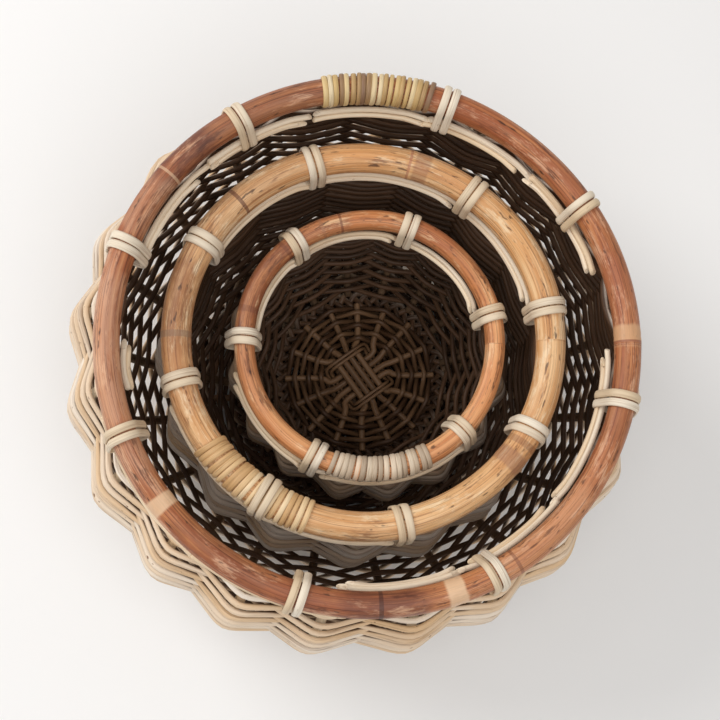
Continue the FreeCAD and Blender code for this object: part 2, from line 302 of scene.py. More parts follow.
def eased(values, u):
    """Values given at each stake, eased from one to the next."""
    values = np.asarray(values, float)
    whole = np.floor(u).astype(int)
    share = (1 - np.cos(np.pi * (u - whole))) / 2
    count = len(values)
    return values[whole % count] * (1 - share) + values[(whole + 1) % count] * share


def axes_along(path, ref, closed):
    """Unit vectors at each point of a line: along it, across it towards ref, and across both."""
    tangent = np.roll(path, -1, 0) - np.roll(path, 1, 0) if closed else np.gradient(path, axis=0)
    tangent /= np.linalg.norm(tangent, axis=1, keepdims=True)
    up = ref - (ref * tangent).sum(1, keepdims=True) * tangent
    up /= np.linalg.norm(up, axis=1, keepdims=True)
    return tangent, up, np.cross(tangent, up)


class Rods:
    """Rods and strips swept along lines and gathered into one mesh, with one seeded source of chance."""

    def __init__(self, basket, part):
        self.basket = basket
        self.random = np.random.default_rng([basket.seed, part])
        self.points, self.corners, self.sizes, self.grain, self.outward = [], [], [], [], []
        self.layers = {}
        self.count = 0

    def add(self, path, width, depth=None, ref=(0, 0, 1), closed=False, sides=8, square=1.0, slant=(0, 0),
            **layers):
        """Sweeps a section with a half width along ref and a half depth across it.

        square below 1 makes the section boxier, slant shears the cut at each end, and layers are values that
        the material reads.
        """
        path = np.asarray(path, float)
        depth = width if depth is None else depth
        width = np.broadcast_to(np.asarray(width, float), len(path)).copy()
        depth = np.broadcast_to(np.asarray(depth, float), len(path)).copy()
        layers = {k: np.broadcast_to(np.asarray(v, float), len(path)) for k, v in layers.items()}
        ref = np.broadcast_to(np.asarray(ref, float), path.shape)
        if not closed:
            path, width, depth, ref, layers = self.ends(path, width, depth, ref, layers)
        n = len(path)
        tangent, up, side = axes_along(path, ref, closed)
        turn = 2 * np.pi * (np.arange(sides) + 0.5) / sides
        c = np.sign(np.cos(turn)) * np.abs(np.cos(turn)) ** square
        s = np.sign(np.sin(turn)) * np.abs(np.sin(turn)) ** square
        a, b = width[:, None] * c, depth[:, None] * s
        away = up[:, None] * a[..., None] + side[:, None] * b[..., None]
        rings = path[:, None] + away
        self.outward.append((away / np.linalg.norm(away, axis=-1, keepdims=True)).reshape(-1, 3))
        if not closed:
            rings[:2] += slant[0] * a[:2, :, None] * tangent[:2, None]
            rings[-2:] += slant[1] * a[-2:, :, None] * tangent[-2:, None]
        i = np.arange(n if closed else n - 1)[:, None]
        j = np.arange(sides)[None]
        after, beside = (i + 1) % n, (j + 1) % sides
        quads = np.stack([i * sides + j, i * sides + beside, after * sides + beside, after * sides + j], -1)
        step = np.linalg.norm(np.roll(path, -1, 0) - path, axis=1)
        along = np.r_[0, np.cumsum(step)] + self.random.uniform(0, 5000)
        here, there = along[:-1][i], along[1:][i]
        corners = (here, i, j), (here, i, beside), (there, after, beside), (there, after, j)
        grain = [np.stack(np.broadcast_arrays(length, a[row, column], b[row, column]), -1)
                 for length, row, column in corners]
        self.corners.append(quads.reshape(-1) + self.count)
        self.sizes.append(np.full(quads.shape[0] * quads.shape[1], 4))
        self.grain.append(np.stack(grain, 2).reshape(-1, 3))
        if not closed:
            for row, order in ((0, np.arange(sides)[::-1]), (n - 1, np.arange(sides))):
                self.corners.append(row * sides + order + self.count)
                self.sizes.append(np.array([sides]))
                self.grain.append(np.stack([np.full(sides, along[row]), a[row, order], b[row, order]], -1))
        for name, values in layers.items():
            self.layers.setdefault(name, []).append(np.repeat(values, sides))
        self.points.append(rings.reshape(-1, 3))
        self.count += n * sides

    @staticmethod
    def ends(path, width, depth, ref, layers):
        """A line with a short rounded edge added at both ends."""
        lead = path[0] - path[1]
        tail = path[-1] - path[-2]
        lead *= END_LENGTH * width[0] / np.linalg.norm(lead)
        tail *= END_LENGTH * width[-1] / np.linalg.norm(tail)
        path = np.vstack([path[0] + lead, path, path[-1] + tail])
        width = np.r_[width[0] * END_SIZE, width, width[-1] * END_SIZE]
        depth = np.r_[depth[0] * END_SIZE, depth, depth[-1] * END_SIZE]
        ref = np.vstack([ref[:1], ref, ref[-1:]])
        layers = {k: np.r_[v[0], v, v[-1]] for k, v in layers.items()}
        return path, width, depth, ref, layers

    def build(self, name, material):
        """The gathered mesh as an object. Its inward layer is high on what faces, or lies, inside the wall."""
        basket = self.basket
        points, outward = np.vstack(self.points), np.vstack(self.outward)
        z = np.clip(points[:, 2], basket.foot_height, basket.border_level)
        radius = np.hypot(points[:, 0], points[:, 1])
        slope = basket.slope(z)
        facing = -np.cos(slope) * (outward[:, :2] * points[:, :2]).sum(1) / radius + np.sin(slope) * outward[:, 2]
        within = (basket.wall(z) - radius) * np.cos(slope) / (basket.wave + basket.rod_radius)
        layers = {k: np.concatenate(v) for k, v in self.layers.items()}
        # Woven rods and stakes darken by this layer: partly a browner inside colour, partly painted shade of the
        # deep basket's inside.
        layers["inward"] = 0.5 * facing + 0.8 * within
        # One browning value for the whole basket, partly painted shade of a basket nested in a larger one.
        layers["stain_and_shade"] = np.full(len(points), basket.stain_and_shade)
        points = basket.settle(points) * MM
        corners, sizes = np.concatenate(self.corners), np.concatenate(self.sizes)
        mesh = bpy.data.meshes.new(name)
        mesh.vertices.add(len(points))
        mesh.vertices.foreach_set("co", points.astype(np.float32).ravel())
        mesh.loops.add(len(corners))
        mesh.loops.foreach_set("vertex_index", corners.astype(np.int32))
        mesh.polygons.add(len(sizes))
        mesh.polygons.foreach_set("loop_start", (np.cumsum(sizes) - sizes).astype(np.int32))
        mesh.update(calc_edges=True)
        grain = mesh.attributes.new("grain", "FLOAT_VECTOR", "CORNER")
        grain.data.foreach_set("vector", (np.vstack(self.grain) * MM).astype(np.float32).ravel())
        for key, values in layers.items():
            layer = mesh.attributes.new(key, "FLOAT", "POINT")
            layer.data.foreach_set("value", values.astype(np.float32))
        mesh.validate()
        mesh.shade_smooth()
        mesh.set_sharp_from_angle(angle=math.radians(SHARP_ANGLE))
        mesh.materials.append(material)
        obj = bpy.data.objects.new(name, mesh)
        bpy.context.scene.collection.objects.link(obj)
        return obj


# Pieces of one basket

def rim_hoop(basket, rods):
    angle = np.arange(0, 360, HOOP_STEP)
    radius, height, half = basket.hoop_line(angle)
    rods.add(around(radius, angle, height), half, closed=True, sides=32, turn=angle)


def rim_whipping(basket, rods):
    """One long strip wound round the hoop, over the scarf where its two ends lap."""
    random = rods.random
    start, end = basket.whipping
    turns = np.arange(basket.turns * WHIPPING_STEPS + 1) / WHIPPING_STEPS
    pitch = (end - start) / basket.turns
    shift = random.uniform(-0.16, 0.16, basket.turns + 2) * pitch
    whole = np.floor(turns).astype(int)
    share = smooth((turns - whole - 1 + WHIPPING_CROSSOVER) / WHIPPING_CROSSOVER)

    def moved_on(values):
        return values[whole] * (1 - share) + values[whole + 1] * share

    angle = start + pitch * turns + moved_on(shift)
    radius, height, half = basket.hoop_line(angle)
    lift = half + 1.05 + 0.25 * np.sin(turns * 2.4 + 1)
    around_hoop = 2 * np.pi * turns - np.pi / 2
    path = around(radius + lift * np.cos(around_hoop), angle, height + lift * np.sin(around_hoop))
    even_width = np.radians(pitch) * basket.hoop_radius / 2 * 0.97
    width = moved_on(even_width * random.uniform(0.82, 1.08, basket.turns + 2))
    tone = moved_on(random.uniform(0, 1, basket.turns + 2))
    rods.add(path, width, WHIPPING_HALF_THICKNESS, ref=around(1, angle + 90, 0), sides=12, square=0.9, tone=tone)


def rim_ties(basket, rods):
    """Pairs of strips pulled tight round the hoop and the rods below it."""
    random = rods.random
    for tie in basket.ties:
        whipped = basket.whipping[0] < tie < basket.whipping[1]
        lean = random.uniform(-TIE_LEAN, TIE_LEAN)
        for side in (-0.5, 0.5):
            offset = side * STRIP_SPACING
            angle = tie + math.degrees(offset / basket.hoop_radius)
            radius, height, half = (v[0] for v in basket.hoop_line(angle))
            lift = LIFT_OVER_WHIPPING if whipped else LIFT_OVER_HOOP
            lift += STRIP_HALF_THICKNESS + random.uniform(0, 0.25)
            circles = [(x, z, reach + STRIP_HALF_THICKNESS) for x, z, reach in map(basket.bundle, (-1, 1))]
            outline = hull(circles + [(radius, height, half + lift)], STRIP_STEPS)
            out, across = around(1, tie, 0), around(1, tie + 90, 0)
            skew = (outline[:, 0] - radius) * math.tan(math.radians(lean + random.uniform(-1.0, 1.0)))
            path = outline[:, :1] * out + (offset + skew)[:, None] * across + outline[:, 1:] * [0, 0, 1]
            width = STRIP_HALF_WIDTH * random.uniform(0.93, 1.03)
            rods.add(path, width, STRIP_HALF_THICKNESS, ref=across, closed=True, sides=12, square=0.95,
                     tone=random.uniform(0, 1))


def border_rods(basket, rods, side):
    """Short rods laid under the hoop in pairs, each with its ends cut on a slant and laid beside the next one's."""
    random = rods.random
    for start, end in basket.rods_outside if side > 0 else basket.rods_inside:
        for second in range(2):
            first = start - random.uniform(0, 1.5) + second * random.uniform(0.5, 4)
            last = end + random.uniform(0.5, 2.5) - second * random.uniform(-2, 3)
            angle = np.linspace(first, last, max(6, int(last - first)))
            out = basket.border_offset + 0.4 + (basket.rod_radius * PAIR_OUT if second else 0)
            drop = basket.rod_radius * PAIR_DROP if second else random.uniform(0, 0.3)
            tuck = bump(angle, first, 5) * 1.2 + bump(angle, last, 3.5) * random.uniform(-0.5, 1.4)
            height = basket.border_rod_level - drop + wobble(random, angle, 0.3, 3, 12)
            radius = basket.rim_wall_radius + side * (out + tuck) + wobble(random, angle, 0.5, 3, 12)
            thick = basket.rod_radius * random.uniform(0.88, 0.92 if second else 1.06)
            rods.add(around(radius, angle, height), thick, sides=10, tone=random.uniform(0, 1),
                     slant=(random.uniform(0.5, 2.2), random.uniform(-2.2, -0.5)))


def top_wale(basket, rods):
    """Two rods that twist round each stake under the border."""
    u = np.arange(0, basket.stakes, 1 / STEPS_PER_STAKE)
    angle = basket.stake_angle(u, basket.wale_level)
    middle = (basket.wale_radius(1) + basket.wale_radius(-1)) / 2
    for side in (-1, 1):
        swing = side * (basket.wale_radius(1) - middle) * np.cos(np.pi * u)
        rise = side * (basket.rod_radius + 0.15) * np.sin(np.pi * u)
        path = around(middle + swing, angle, basket.wale_level + rise)
        rods.add(path, basket.rod_radius, closed=True, tone=rods.random.uniform(0, 1))


def stakes(basket, rods):
    """Upright rods. One that stands at a tie stops under the border."""
    random = rods.random
    for k in range(basket.stakes):
        top = basket.border_level + random.uniform(-0.5, 1.5)
        if basket.near_tie(basket.stake_angle(np.array([k]), basket.border_level)[0]):
            top = basket.weave_top - 2
        z = np.linspace(basket.foot_height + FIT_GAP + basket.stake_radius * 0.9, top, STAKE_STEPS)
        angle = np.array([basket.stake_angle(np.array([k]), h)[0] for h in z])
        radius = basket.stake_radius * random.uniform(0.94, 1.02)
        rods.add(around(basket.wall(z), angle, z), radius, ref=around(1, angle + 90, 0), sides=10,
                 slant=(0, random.uniform(-0.4, 0.4)), tone=random.uniform(0, 1))


def woven_rows(basket, rods, parity):
    """Every second row of the wall. It passes outside one stake and inside the next, and runs straight between."""
    random = rods.random
    levels = basket.row_levels()
    stake = np.arange(basket.stakes)
    tight, wide = basket.rod_offset * WAVE_GAIN, basket.wave * WAVE_GAIN
    for row in range(parity, len(levels), 2):
        z = levels[row]
        loose = min(smooth((z - levels[0] + 4) / SWING_GROWTH), smooth((levels[-1] - z + 4) / SWING_FADE))
        sign = (1 if parity == 0 else -1) * (-1) ** stake
        out = sign * (tight + (wide - tight) * loose) * (1 + random.uniform(-0.08, 0.05, basket.stakes))
        level = z + random.uniform(-0.5, 0.5, basket.stakes) * min(1, (levels[-1] - z) / 12)
        radius, height = basket.beside_wall(level, out)
        corners = around(radius, basket.stake_angle(stake, z), height)
        share = (np.arange(STEPS_PER_STAKE) / STEPS_PER_STAKE)[None, :, None]
        line = (corners[:, None] * (1 - share) + np.roll(corners, -1, 0)[:, None] * share).reshape(-1, 3)
        half = len(SOFTEN) // 2
        path = sum(w * np.roll(line, k - half, 0) for k, w in enumerate(SOFTEN)) / sum(SOFTEN)
        turn = 360 / len(path) * np.arange(len(path))
        thick = basket.rod_radius * random.uniform(0.94, 1.08) * (1 + wobble(random, turn, 0.05, 1, 6))
        rods.add(path, thick, closed=True,
                 tone=np.clip(random.uniform(0.15, 0.85) + wobble(random, turn, 0.25, 1, 4), 0, 1))


def foot_border(basket, rods):
    """A flat plait of turned-under stake ends."""
    angle = np.arange(0, 360, 360 / (basket.stakes * PLAIT_STEPS))
    for strand in range(3):
        phase = np.radians(basket.stakes * angle) + 2 * np.pi * strand / 3
        radius = basket.plait_radius + PLAIT_SWING * np.cos(phase)
        height = PLAIT_LEVEL + PLAIT_RISE * np.sin(2 * phase)
        rods.add(around(radius, angle, height), PLAIT_ROD_RADIUS, closed=True, tone=rods.random.uniform(0, 1))


def base_sticks(basket, rods, layer):
    """Sticks that lie side by side at the centre and spread out to the floor's edge. layer is -1 or 1."""
    random = rods.random
    for i in range(basket.sticks):
        place = i - (basket.sticks - 1) / 2
        spread = 90 / basket.sticks * place
        level = BASE_MIDDLE + layer * (STICK_RADIUS + 0.1)
        half = np.array([
            [SLATH_HALF * 0.35, place * STICK_PITCH, level],
            [SLATH_HALF, place * STICK_PITCH, level],
            *around(SLATH_SPREAD, spread, BASE_MIDDLE)[None],
            *around(basket.floor_edge + FLOOR_OVERLAP, spread, BASE_MIDDLE)[None],
        ])
        half[:, 1] += random.uniform(-0.15, 0.15)
        path = rounded(np.vstack([half[::-1] * [-1, 1, 1], half]))
        path = turned(path, basket.cross_angle + (0 if layer < 0 else 90))
        rods.add(path, STICK_RADIUS * random.uniform(0.93, 1.0), sides=10, tone=random.uniform(-0.3, 0.4))


def slath_binding(basket, rods):
    """Square rounds that pass over one layer of crossed sticks and under the other."""
    bundle = STICK_PITCH * (basket.sticks - 1) / 2 + STICK_RADIUS + 1.0
    above = STICK_RADIUS * 2 + BINDING_RADIUS + FIT_GAP
    for i in range(2):
        side = SLATH_HALF - BINDING_INSET + BINDING_PITCH * i
        corners = []
        for quarter in range(4):
            level = BASE_MIDDLE + (-above if quarter % 2 == 0 else above)
            points = [[side, -side, BASE_MIDDLE], [side, -bundle, level], [side, 0, level], [side, bundle, level]]
            corners.append(turned(np.array(points), 90 * quarter + basket.cross_angle))
        path = rounded_loop(np.vstack(corners))
        rods.add(path, BINDING_RADIUS, closed=True, tone=rods.random.uniform(0, 1))


def base_weave(basket, rods):
    """Rows of the floor, each over one stick and under the next."""
    random = rods.random
    spokes = 4 * basket.sticks
    u = np.arange(0, spokes, 1 / BASE_STEPS)
    half_step = math.pi / spokes
    chord = math.cos(half_step) / np.cos((u % 1 - 0.5) * 2 * half_step)
    radius, sign = SLATH_SPREAD + 2.5, 1
    while radius < basket.floor_edge + FLOOR_OVERLAP:
        angle = basket.cross_angle + 90 / basket.sticks * (u - (basket.sticks - 1) / 2)
        thick = BASE_ROD_RADIUS * random.uniform(0.9, 1.05)
        level = BASE_MIDDLE + sign * (STICK_RADIUS + thick + 0.1) * np.cos(np.pi * u)
        bend = radius * (0.15 + 0.85 * chord) + eased(random.uniform(-0.35, 0.35, spokes), u)
        rods.add(around(bend, angle, level), thick, closed=True, tone=random.uniform(0.3, 1.3))
        radius += BASE_ROW_PITCH
        sign = -sign


# Materials

class Graph:
    """A material's nodes, made and joined from left to right."""

    def __init__(self, name):
        self.material = bpy.data.materials.new(name)
        self.material.use_nodes = True
        self.tree = self.material.node_tree
        self.shader = self.tree.nodes["Principled BSDF"]

    def node(self, kind, inputs=(), output=0, **settings):
        node = self.tree.nodes.new("ShaderNode" + kind)
        for key, value in settings.items():
            setattr(node, key, value)
        for key, value in dict(inputs).items():
            self.put(node.inputs[key], value)
        return node.outputs[output]

    def put(self, socket, value):
        if isinstance(value, bpy.types.NodeSocket):
            self.tree.links.new(value, socket)
        else:
            socket.default_value = value

    def layer(self, name, vector=False):
        return self.node("Attribute", attribute_name=name, output=1 if vector else 2)

    def math(self, operation, a, b=0.0):
        return self.node("Math", {0: a, 1: b}, operation=operation)

    def weighted(self, a, share_a, b, share_b):
        return self.math("ADD", self.math("MULTIPLY", a, share_a), self.math("MULTIPLY", b, share_b))

    def spread(self, value, low, high, to_low=0.0, to_high=1.0):
        """A smooth step: to_low where value is at low, and to_high where it is at high."""
        ends = {0: value, 1: low, 2: high, 3: to_low, 4: to_high}
        return self.node("MapRange", ends, interpolation_type="SMOOTHSTEP")

    def mix(self, share, a, b):
        return self.node("Mix", {0: share, 6: a, 7: b}, output=2, data_type="RGBA")

    def noise(self, scale, detail=3.0, rough=0.55, centre=(0, 0, 0)):
        """Noise in the rod's own grain, with scale per metre along it and across it."""
        along, across = scale
        place = {"Vector": self.layer("grain", vector=True), "Location": centre, "Scale": (along, across, across)}
        where = self.node("Mapping", place)
        return self.node("TexNoise", {"Vector": where, "Scale": 1.0, "Detail": detail, "Roughness": rough})

    def finish(self, base, roughness, height, relief, shine):
        """Joins everything to the shader. relief is in metres, for a height of 1."""
        bumps = self.node("Bump", {"Strength": 0.5, "Distance": relief, "Height": height})
        self.put(self.shader.inputs["Base Color"], base)
        self.put(self.shader.inputs["Roughness"], roughness)
        self.put(self.shader.inputs["Normal"], bumps)
        self.put(self.shader.inputs["Specular IOR Level"], shine)
        return self.material


def colour(red, green, blue):
    """Linear colour from a display colour, 0 to 255."""
    shares = [value / 255 for value in (red, green, blue)]
    return (*(c / 12.92 if c <= 0.04 else ((c + 0.055) / 1.055) ** 2.4 for c in shares), 1.0)


def scaled(tint, factor):
    return (*(min(1.0, c * factor) for c in tint[:3]), 1.0)


# The first colour browns the nested baskets' woven rods, partly as painted shade.
STAIN_AND_SHADE = colour(94, 66, 44)
FLECK = colour(60, 35, 25)
STRIP_SHADE = colour(90, 68, 45)
RED_LINE = colour(136, 66, 46)
CREAM = colour(232, 196, 158)
DARK_SKIN = colour(112, 62, 44)


def cane_core(name, pale, warm, dark, fibre=900, inner=None, speck=0.5, rough=0.55, stained_and_shaded=False):
    """Peeled cane or rod: long fine fibres, warmer and paler rods, dark specks, and a darker inside to the wall,
    partly a browner inside colour and partly painted shade of the deep basket's inside.

    inner is that inside's colour, and the values of the inward layer between which it comes in.
    """
    g = Graph(name)
    tone = g.layer("tone")
    fine = g.noise((28, fibre), 4.0, 0.65)
    streak = g.noise((9, fibre * 0.3), 2.0, 0.5, (3, 1, 2))
    patch = g.noise((14, 60), 3.0, 0.6, (7, 5, 1))
    spots = g.noise((160, 420), 2.0, 0.5, (2, 9, 4))
    fibres = g.weighted(fine, 0.55, streak, 0.45)
    base = g.mix(g.spread(g.weighted(tone, 0.55, patch, 0.6), 0.25, 0.95), pale, warm)
    base = g.mix(g.spread(fibres, 0.48, 0.72, 0.0, 0.75), base, dark)
    base = g.mix(g.spread(spots, 0.70, 0.78, 0.0, speck), base, dark)
    # Painted shade, in part: a nested basket's woven rods are browned all over, for the shade between nested walls
    # as well as browner rods.
    if stained_and_shaded:
        base = g.mix(g.layer("stain_and_shade"), base, STAIN_AND_SHADE)
    # Painted shade, in part: rods darken where they face or lie inside the wall, for the shade inside the deep
    # basket as well as a browner inside colour.
    if inner:
        shaded, low, high = inner
        inside = g.mix(g.spread(fibres, 0.40, 0.68), shaded, scaled(shaded, 0.45))
        lighter = g.math("MULTIPLY", g.spread(g.math("ADD", tone, patch), 0.6, 1.5), 0.5)
        inside = g.mix(lighter, inside, scaled(shaded, 1.9))
        base = g.mix(g.spread(g.layer("inward"), low, high), base, inside)
    roughness = g.spread(fine, 0.3, 0.75, rough - 0.08, rough + 0.14)
    return g.finish(base, roughness, g.weighted(fine, 1.0, streak, 1.5), 0.00035, 0.35)


def hoop_cane(name, pale, main, deep, worn, bands, stretches, blotches):
    """Thick stripped cane: long streaks, scuffs, node rings, and stretches of redder, browner or paler colour,
    partly the cane's own skin and partly painted shade and sheen from the side the light falls on.

    A band, stretch or blotch is its angle round the hoop, its half width, its colour and its strength.
    """
    g = Graph(name)
    turn = g.layer("turn")
    fine = g.noise((10, 1100), 5.0, 0.7)
    streak = g.noise((5, 260), 3.0, 0.6, (3, 1, 2))
    patch = g.noise((16, 45), 4.0, 0.6, (7, 5, 1))
    ragged = g.spread(g.noise((34, 150), 4.0, 0.7, (1, 4, 8)), 0.34, 0.60, 0.35, 1.0)

    def near(angle, half_width, soft):
        """1 close to the angle, with an edge that wanders by a share of half_width."""
        away = g.math("MODULO", g.math("ADD", g.math("SUBTRACT", turn, angle), 540.0), 360.0)
        away = g.math("ABSOLUTE", g.math("SUBTRACT", away, 180.0))
        away = g.math("ADD", away, g.math("MULTIPLY", g.math("SUBTRACT", patch, 0.5), half_width * soft))
        return g.spread(away, half_width * 1.15, half_width * 0.75)

    base = g.mix(g.spread(g.weighted(streak, 0.6, patch, 0.4), 0.36, 0.62), pale, main)
    # Painted shade and sheen, in part: the stretches darken the hoop where it turns from the light and lighten it
    # where it faces the light, over the cane's own skin colour.
    for angle, half_width, tint, strength in stretches:
        cover = g.math("MULTIPLY", near(angle, half_width, 1.2), ragged)
        base = g.mix(g.math("MULTIPLY", cover, strength), base, tint)
    scuffs = g.noise((22, 95), 5.0, 0.75, (6, 2, 3))
    stripes = g.noise((30, 180), 4.0, 0.7, (8, 3, 6))
    flecks = g.noise((90, 330), 2.0, 0.5, (2, 9, 4))
    base = g.mix(g.spread(scuffs, 0.52, 0.66, 0.0, 0.6), base, worn)
    base = g.mix(g.spread(fine, 0.48, 0.68, 0.0, 0.75), base, deep)
    base = g.mix(g.spread(stripes, 0.56, 0.68, 0.0, 0.65), base, deep)
    base = g.mix(g.spread(flecks, 0.64, 0.74, 0.0, 0.75), base, FLECK)
    for angle, half_width, tint, strength in bands + blotches:
        base = g.mix(g.math("MULTIPLY", near(angle, half_width, 0.6), strength), base, tint)
    roughness = g.spread(patch, 0.3, 0.7, 0.34, 0.56)
    return g.finish(base, roughness, g.weighted(fine, 1.0, streak, 2.0), 0.0006, 0.45)


def whipping_strip(name, stops):
    """Flat strip whose colour changes from turn to turn, through stops of (tone, colour)."""
    g = Graph(name)
    fine = g.noise((60, 1500), 4.0, 0.65)
    patch = g.noise((45, 300), 3.0, 0.6, (7, 5, 1))
    ramp = g.tree.nodes.new("ShaderNodeValToRGB")
    ramp.color_ramp.interpolation = "B_SPLINE"
    while len(ramp.color_ramp.elements) < len(stops):
        ramp.color_ramp.elements.new(0.5)
    for element, (position, tint) in zip(ramp.color_ramp.elements, stops):
        element.position, element.color = position, tint
    drift = g.math("MULTIPLY", g.math("SUBTRACT", patch, 0.5), 0.35)
    g.put(ramp.inputs[0], g.math("ADD", g.layer("tone"), drift))
    base = g.mix(g.spread(fine, 0.48, 0.75, 0.0, 0.5), ramp.outputs[0], STRIP_SHADE)
    return g.finish(base, g.spread(fine, 0.3, 0.75, 0.45, 0.65), fine, 0.0003, 0.5)


# The inner colours below give woven rods and stakes a darker inside: partly a browner inside colour, partly painted
# shade of the deep basket's inside.
woven = cane_core(
    "woven_rod", colour(246, 236, 222), colour(224, 188, 144), colour(128, 90, 60),
    inner=(colour(82, 57, 38), -0.22, 0.30), speck=1.0, stained_and_shaded=True)
staves = cane_core(
    "stake_rod", colour(214, 194, 164), colour(190, 158, 118), colour(120, 90, 62),
    inner=(colour(96, 74, 54), -0.2, 0.25))
floor_rods = cane_core(
    "base_rod", colour(134, 100, 70), colour(84, 58, 38), colour(46, 30, 18), rough=0.5)
border = cane_core(
    "border_rod", colour(244, 228, 204), colour(232, 206, 170), colour(170, 134, 98), speck=0.6)
tie = cane_core(
    "tie_strip", colour(238, 226, 206), colour(220, 196, 162), colour(160, 128, 98), fibre=1200)

HOOPS = {
    "large": hoop_cane(
        "large_hoop_cane", colour(202, 134, 86), colour(162, 90, 52), colour(78, 38, 24), colour(230, 182, 146),
        bands=[
            (141, 0.35, CREAM, 0.45), (1.5, 2.4, colour(214, 168, 126), 0.75), (0.2, 0.3, RED_LINE, 0.7),
            (288.5, 2.0, CREAM, 0.8), (219, 1.8, CREAM, 0.75),
        ],
        # Stretches: partly the cane's own skin, partly painted shade and sheen from where the light falls.
        stretches=[
            (115, 20, colour(148, 98, 70), 0.7), (137, 9, DARK_SKIN, 0.85), (190, 26, colour(206, 160, 130), 0.6),
            (150, 8, colour(196, 148, 116), 0.6), (265, 16, colour(142, 82, 58), 0.7), (236, 12, DARK_SKIN, 0.45),
            (312, 14, colour(208, 152, 112), 0.5), (272, 9, DARK_SKIN, 0.6), (40, 9, colour(178, 114, 80), 0.5),
            (12, 9, colour(172, 104, 74), 0.6), (345, 9, DARK_SKIN, 0.35),
        ],
        blotches=[(272, 0.5, colour(70, 36, 28), 0.7), (303, 0.4, DARK_SKIN, 0.5), (100, 0.8, DARK_SKIN, 0.6)],
    ),
    "medium": hoop_cane(
        "medium_hoop_cane", colour(242, 200, 150), colour(210, 152, 96), colour(128, 78, 46), colour(250, 228, 190),
        bands=[
            (180, 1.0, colour(140, 110, 88), 0.6), (76, 0.45, colour(170, 104, 80), 0.6),
            (281, 0.4, colour(180, 130, 90), 0.3), (133, 0.6, colour(110, 66, 48), 0.75),
        ],
        # Stretches: partly the cane's own skin, partly painted shade and sheen from where the light falls.
        stretches=[
            (150, 46, colour(184, 130, 86), 0.5), (172, 14, colour(160, 106, 68), 0.75),
            (195, 12, colour(190, 132, 86), 0.6), (95, 14, colour(226, 160, 98), 0.6),
            (60, 8, colour(206, 142, 86), 0.5), (300, 14, colour(236, 186, 128), 0.5),
            (35, 10, colour(232, 176, 116), 0.5),
        ],
        blotches=[
            (320, 3.0, colour(160, 112, 84), 0.6), (72, 2.6, colour(150, 96, 72), 0.45), (326, 1.2, DARK_SKIN, 0.4),
        ],
    ),
    "small": hoop_cane(
        "small_hoop_cane", colour(234, 172, 118), colour(198, 126, 76), colour(100, 54, 32), colour(250, 212, 166),
        bands=[(113, 0.7, colour(170, 116, 82), 0.6)],
        # Stretches: partly the cane's own skin, partly painted shade and sheen from where the light falls.
        stretches=[
            (120, 85, colour(160, 100, 66), 0.55), (150, 26, colour(138, 78, 50), 0.7),
            (112, 12, colour(186, 118, 78), 0.6), (90, 10, colour(222, 140, 80), 0.5),
            (60, 12, colour(178, 104, 66), 0.6), (200, 14, colour(202, 134, 90), 0.5),
            (340, 12, colour(226, 150, 96), 0.5),
        ],
        blotches=[(133, 1.0, DARK_SKIN, 0.5), (166, 1.5, DARK_SKIN, 0.45), (104, 0.6, DARK_SKIN, 0.6)],
    ),
}
WHIPPINGS = {
    "large": whipping_strip("large_whipping", [
        (0.0, colour(132, 100, 80)), (0.15, colour(176, 140, 94)), (0.4, colour(204, 170, 112)),
        (0.65, colour(216, 184, 124)), (0.85, colour(226, 202, 156)), (1.0, colour(232, 214, 180)),
    ]),
    "medium": whipping_strip("medium_whipping", [
        (0.0, colour(196, 152, 100)), (0.4, colour(222, 182, 130)), (0.8, colour(236, 206, 160)),
        (1.0, colour(240, 218, 182)),
    ]),
    "small": whipping_strip("small_whipping", [
        (0.0, colour(170, 150, 128)), (0.4, colour(206, 186, 160)), (0.9, colour(232, 218, 196)),
        (1.0, colour(236, 160, 96)),
    ]),
}

# CAD node: the piece shown for it, what makes it, its material and its slot
PIECES = {
    "rim_hoop": ("hoop", rim_hoop, HOOPS, "{}_hoop_cane"),
    "rim_whipping": ("wound_strip", rim_whipping, WHIPPINGS, "{}_whipping"),
    "rim_ties": ("tied_strips", rim_ties, tie, "tie_strip"),
    "border_rods_inside": ("inner_border", partial(border_rods, side=-1), border, "border_rod"),
    "border_rods_outside": ("outer_border", partial(border_rods, side=1), border, "border_rod"),
    "top_wale": ("twisted_wale", top_wale, woven, "woven_rod"),
    "stakes": ("wall_stakes", stakes, staves, "stake_rod"),
    "odd_weave_rows": ("odd_rods", partial(woven_rows, parity=0), woven, "woven_rod"),
    "even_weave_rows": ("even_rods", partial(woven_rows, parity=1), woven, "woven_rod"),
    "foot_border": ("foot_plait", foot_border, woven, "woven_rod"),
    "base_sticks_under": ("lower_sticks", partial(base_sticks, layer=-1), floor_rods, "base_rod"),
    "base_sticks_over": ("upper_sticks", partial(base_sticks, layer=1), floor_rods, "base_rod"),
    "slath_binding": ("cross_binding", slath_binding, floor_rods, "base_rod"),
    "base_weave": ("floor_rows", base_weave, floor_rods, "base_rod"),
}

